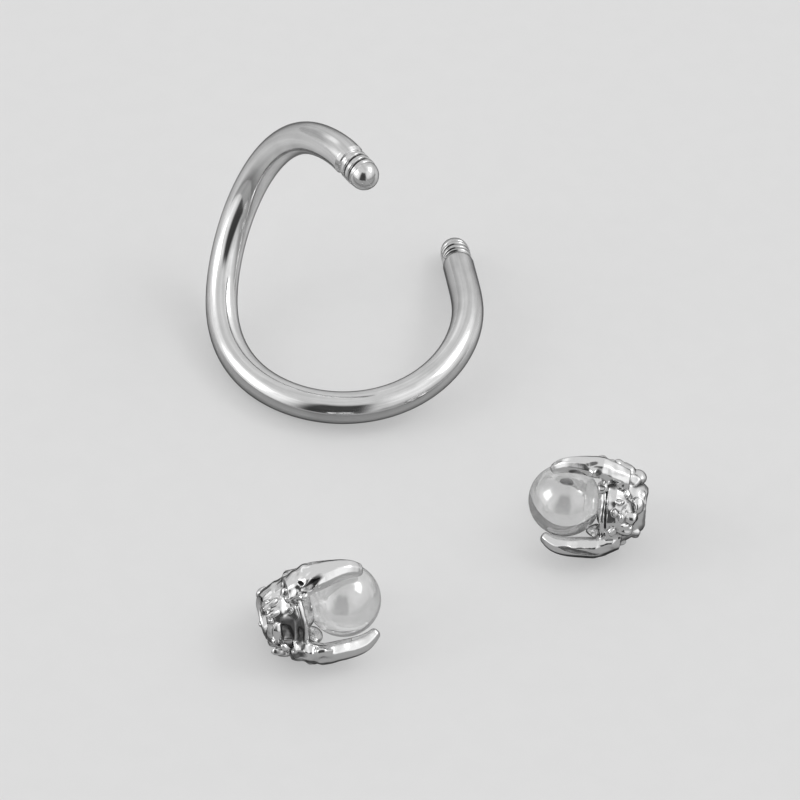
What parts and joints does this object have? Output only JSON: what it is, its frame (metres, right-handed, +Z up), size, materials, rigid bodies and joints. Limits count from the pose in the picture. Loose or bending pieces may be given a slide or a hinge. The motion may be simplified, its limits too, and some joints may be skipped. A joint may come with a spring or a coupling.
{
  "type": "cartilage earring",
  "caption": "Twisted wire barbell for an ear cartilage piercing, with threaded tips and two screw-on claw ends that each grip a glass ball, shown unscrewed.",
  "frame": {"origin": "middle of the footprint of the post and both ends, on the surface that they lie on", "axes": "+Z up from the surface, -Y towards the viewer, +X to the viewer's right"},
  "size_m": [0.0163, 0.0214, 0.0096],
  "materials": {
    "polished_wire": "mirror-polished surgical steel wire",
    "cast_claw": "cast steel with a rough, pitted surface, polished bright on what stands proud",
    "clear_glass": "clear, faintly milky polished glass"
  },
  "bodies": {
    "root": {"twister_post": "polished_wire", "claw_front": "cast_claw", "ball_front": "clear_glass", "claw_right": "cast_claw", "ball_right": "clear_glass"}
  },
  "joints": []
}
